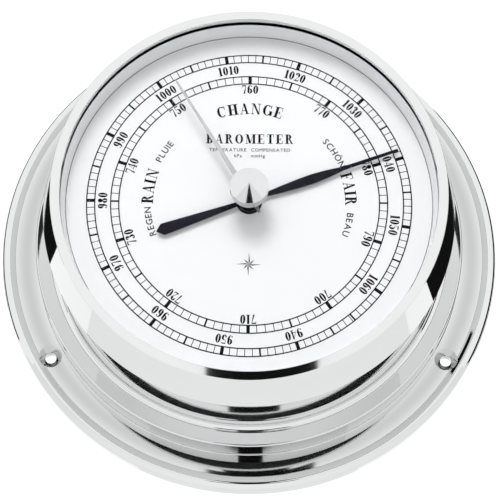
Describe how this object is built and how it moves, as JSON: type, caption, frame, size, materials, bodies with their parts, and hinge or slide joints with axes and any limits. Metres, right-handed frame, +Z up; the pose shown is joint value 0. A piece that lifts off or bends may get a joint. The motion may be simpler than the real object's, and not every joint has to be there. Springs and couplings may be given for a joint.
{
  "type": "aneroid barometer",
  "caption": "Round flange-mounted aneroid barometer: polished case, glazed dial with pressure pointer and set hand, and the working capsule movement inside.",
  "frame": {"origin": "centre of the mounting flange's back face, in the wall plane", "axes": "-Y out of the dial towards the reader, +Z up to 12 o'clock, +X to the reader's right"},
  "size_m": [0.152, 0.0592, 0.152],
  "materials": {
    "chromed_brass": "mirror-polished chrome plate on brass",
    "movement_brass": "satin brass",
    "steel_screws": "turned and polished steel",
    "clear_glass": "clear float glass",
    "seal_rubber": "matt black rubber",
    "rehaut_grey": "pale grey satin lacquer",
    "dial_white": "white satin enamel with black print",
    "cover_aluminium": "brushed aluminium",
    "capsule_metal": "nickel-silver corrugated sheet",
    "blued_steel": "blued spring steel",
    "pointer_black": "satin black lacquer",
    "set_hand_silver": "satin silver"
  },
  "bodies": {
    "case": {"case_body": "chromed_brass", "bezel": "chromed_brass", "glass": "clear_glass", "glass_gasket": "seal_rubber", "rehaut_ring": "rehaut_grey", "dial": "dial_white", "back_cover": "cover_aluminium", "back_cover_screws": "steel_screws", "dial_pillars": "movement_brass", "dial_pillar_screws": "steel_screws", "movement_top_plate": "movement_brass", "movement_base_plate": "movement_brass", "movement_pillars": "movement_brass", "top_plate_screws": "steel_screws", "base_plate_screws": "steel_screws", "bridge_pillars": "movement_brass", "bridge_screws": "steel_screws", "bearing_screws": "steel_screws", "rocker_bearing_left": "movement_brass", "rocker_bearing_right": "movement_brass", "train_bridge": "movement_brass", "capsule_carrier": "steel_screws", "carrier_screws": "steel_screws", "aneroid_capsule": "capsule_metal", "hairspring": "blued_steel", "hairspring_stud": "movement_brass", "glass_bush": "chromed_brass", "bush_nut": "chromed_brass"},
    "pointer": {"pressure_pointer": "pointer_black", "pointer_hub": "pointer_black", "hub_collar": "chromed_brass", "pointer_arbor": "steel_screws", "hairspring_collet": "movement_brass"},
    "sector": {"sector_gear": "movement_brass", "sector_arbor": "steel_screws"},
    "rocker": {"rocker_arbor": "steel_screws", "bimetal_lever": "steel_screws", "pull_lever": "movement_brass"},
    "link": {"link_rod": "steel_screws"},
    "capsule_stem": {"capsule_stem": "movement_brass"},
    "set_hand": {"set_hand": "set_hand_silver", "set_hub": "set_hand_silver", "set_stem": "chromed_brass", "set_knob": "chromed_brass"},
    "adjuster": {"adjusting_screw": "steel_screws"}
  },
  "joints": [
    {"name": "pressure_pointer_turn", "type": "hinge", "parent": "case", "child": "pointer", "pos_m": [0, -0.0443, 0], "axis": [0, 1, 0], "range_deg": [-288.93, 70.21], "stiffness_Nm_per_rad": 0.00002},
    {"name": "sector_turn", "type": "hinge", "parent": "case", "child": "sector", "pos_m": [-0.0115, -0.0353, 0.03221], "axis": [0, 1, 0], "range_deg": [-3.95, 16.1]},
    {"name": "rocker_turn", "type": "hinge", "parent": "case", "child": "rocker", "pos_m": [0, -0.0228, 0.009], "axis": [1, 0, 0], "range_deg": [-4.61, 1.13]},
    {"name": "link_pull", "type": "slide", "parent": "case", "child": "link", "axis": [0, 0, -1], "range_m": [-0.00113, 0.00028]},
    {"name": "capsule_lift", "type": "slide", "parent": "case", "child": "capsule_stem", "axis": [0, 1, 0], "range_m": [-0.000725, 0.00018]},
    {"name": "set_hand_turn", "type": "hinge", "parent": "case", "child": "set_hand", "pos_m": [0, -0.054, 0], "axis": [0, 1, 0], "continuous": true},
    {"name": "adjusting_screw_turn", "type": "hinge", "parent": "case", "child": "adjuster", "pos_m": [0, -0.009, 0], "axis": [0, 1, 0], "range_deg": [-180, 180]}
  ],
  "couplings": [
    {"joint": "sector_turn", "follows": "pressure_pointer_turn", "ratio": -0.055556},
    {"joint": "rocker_turn", "follows": "pressure_pointer_turn", "ratio": 0.015873},
    {"joint": "link_pull", "follows": "pressure_pointer_turn", "m_per_rad": 0.00022222},
    {"joint": "capsule_lift", "follows": "pressure_pointer_turn", "m_per_rad": 0.00014286}
  ]
}
